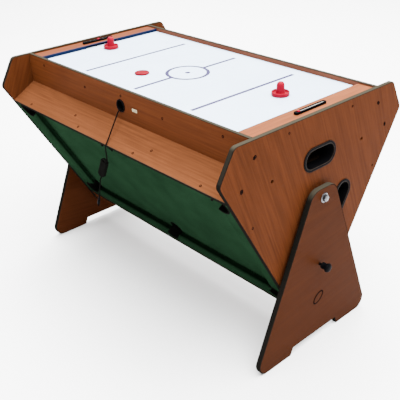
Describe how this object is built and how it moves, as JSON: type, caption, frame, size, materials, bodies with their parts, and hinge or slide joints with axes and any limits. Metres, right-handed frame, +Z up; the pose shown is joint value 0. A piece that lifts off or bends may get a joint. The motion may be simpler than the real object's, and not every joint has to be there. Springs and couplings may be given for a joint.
{
  "type": "rotating multi-game table",
  "caption": "Games table whose long drum turns between end legs to bring an air hockey, pool or bumper pool face to the top, with pull pins that lock it.",
  "frame": {"origin": "on the floor, under the middle of the table", "axes": "+X along the table from its far end to its near end, which has the pull knob in view; +Z up; the hockey side faces up, its left rail with the cord is at -Y"},
  "size_m": [1.3626, 0.8594, 0.8883],
  "materials": {
    "wood": "reddish mahogany laminate, satin, fine lengthwise grain",
    "pale_wood": "peach wood laminate, satin",
    "raw_board": "bare particle board",
    "bed_board": "board faced with bonded dark green cloth",
    "cloth": "dark green napped billiard cloth",
    "hockey_surface": "smooth white laminate with violet-blue rink lines",
    "edging": "black extruded edge moulding, satin",
    "black_plastic": "moulded black plastic, satin",
    "red_plastic": "moulded red plastic, glossy",
    "cream_plastic": "moulded cream plastic",
    "steel": "bright zinc-plated hardware",
    "cord_jacket": "soft black cord jacket, satin"
  },
  "bodies": {
    "stand": {"leg_near": "wood", "leg_far": "wood", "leg_edge_moulding_near": "edging", "leg_edge_moulding_far": "edging", "pivot_bolt_near": "steel", "pivot_bolt_far": "steel", "pivot_spacer_near": "black_plastic", "pivot_spacer_far": "black_plastic"},
    "drum": {"end_panel_near": "wood", "end_panel_far": "wood", "hockey_rail_left": "wood", "hockey_rail_right": "wood", "pool_rail_left": "wood", "pool_rail_right": "wood", "bumper_rail_left": "wood", "bumper_rail_right": "wood", "panel_edge_moulding_near": "edging", "panel_edge_moulding_far": "edging", "puck_return_cup_near": "black_plastic", "puck_return_cup_far": "black_plastic", "ball_return_cup_near": "black_plastic", "ball_return_cup_far": "black_plastic", "scorer_bar_near": "black_plastic", "scorer_bar_far": "black_plastic", "blower_housing": "black_plastic", "cable_grommet": "black_plastic", "pocket_left_near": "black_plastic", "pocket_left_middle": "black_plastic", "pocket_left_far": "black_plastic", "pocket_right_near": "black_plastic", "pocket_right_middle": "black_plastic", "pocket_right_far": "black_plastic", "inner_frame": "raw_board", "hockey_playfield": "hockey_surface", "hockey_end_strip_near": "pale_wood", "hockey_end_strip_far": "pale_wood", "centre_bumpers": "red_plastic", "end_bumpers_near": "red_plastic", "end_bumpers_far": "red_plastic", "switch_body": "cream_plastic", "cord_lead": "cord_jacket", "cord_hank": "cord_jacket", "cord_tail": "cord_jacket", "cord_plug": "cord_jacket", "pool_bed": "bed_board", "bumper_bed": "bed_board", "pool_cushion_left": "cloth", "pool_cushion_right": "cloth", "pool_cushion_end_near": "cloth", "pool_cushion_end_far": "cloth", "bumper_cushions": "cloth"},
    "lock_near": {"lock_knob_near": "black_plastic"},
    "lock_far": {"lock_knob_far": "black_plastic"},
    "bead_near": {"scorer_bead_near": "red_plastic"},
    "bead_far": {"scorer_bead_far": "red_plastic"},
    "pusher_near": {"pusher_near": "red_plastic"},
    "pusher_far": {"pusher_far": "red_plastic"},
    "puck": {"puck": "red_plastic"},
    "rocker": {"switch_rocker": "cream_plastic"},
    "impeller": {"blower_impeller": "black_plastic"}
  },
  "joints": [
    {"name": "table_turn", "type": "hinge", "parent": "stand", "child": "drum", "pos_m": [0, 0, 0.5751], "axis": [1, 0, 0], "range_deg": [-120, 120]},
    {"name": "lock_slide_near", "type": "slide", "parent": "stand", "child": "lock_near", "axis": [1, 0, 0], "range_m": [-0.012, 0]},
    {"name": "lock_slide_far", "type": "slide", "parent": "stand", "child": "lock_far", "axis": [-1, 0, 0], "range_m": [-0.012, 0]},
    {"name": "bead_slide_near", "type": "slide", "parent": "drum", "child": "bead_near", "axis": [0, 1, 0], "range_m": [0, 0.112]},
    {"name": "bead_slide_far", "type": "slide", "parent": "drum", "child": "bead_far", "axis": [0, 1, 0], "range_m": [-0.06, 0.052]},
    {"name": "pusher_slide_near", "type": "slide", "parent": "drum", "child": "pusher_near", "axis": [0, 1, 0], "range_m": [-0.3, 0.2]},
    {"name": "pusher_slide_far", "type": "slide", "parent": "drum", "child": "pusher_far", "axis": [0, 1, 0], "range_m": [-0.25, 0.25]},
    {"name": "puck_slide", "type": "slide", "parent": "drum", "child": "puck", "axis": [1, 0, 0], "range_m": [-0.28, 0.42]},
    {"name": "rocker_tilt", "type": "hinge", "parent": "drum", "child": "rocker", "pos_m": [0.074, -0.3, 0.7997], "axis": [0, 0, 1], "range_deg": [-20, 0]},
    {"name": "impeller_spin", "type": "hinge", "parent": "drum", "child": "impeller", "pos_m": [0.11, 0, 0.7824], "axis": [0, 0, 1], "continuous": true}
  ]
}
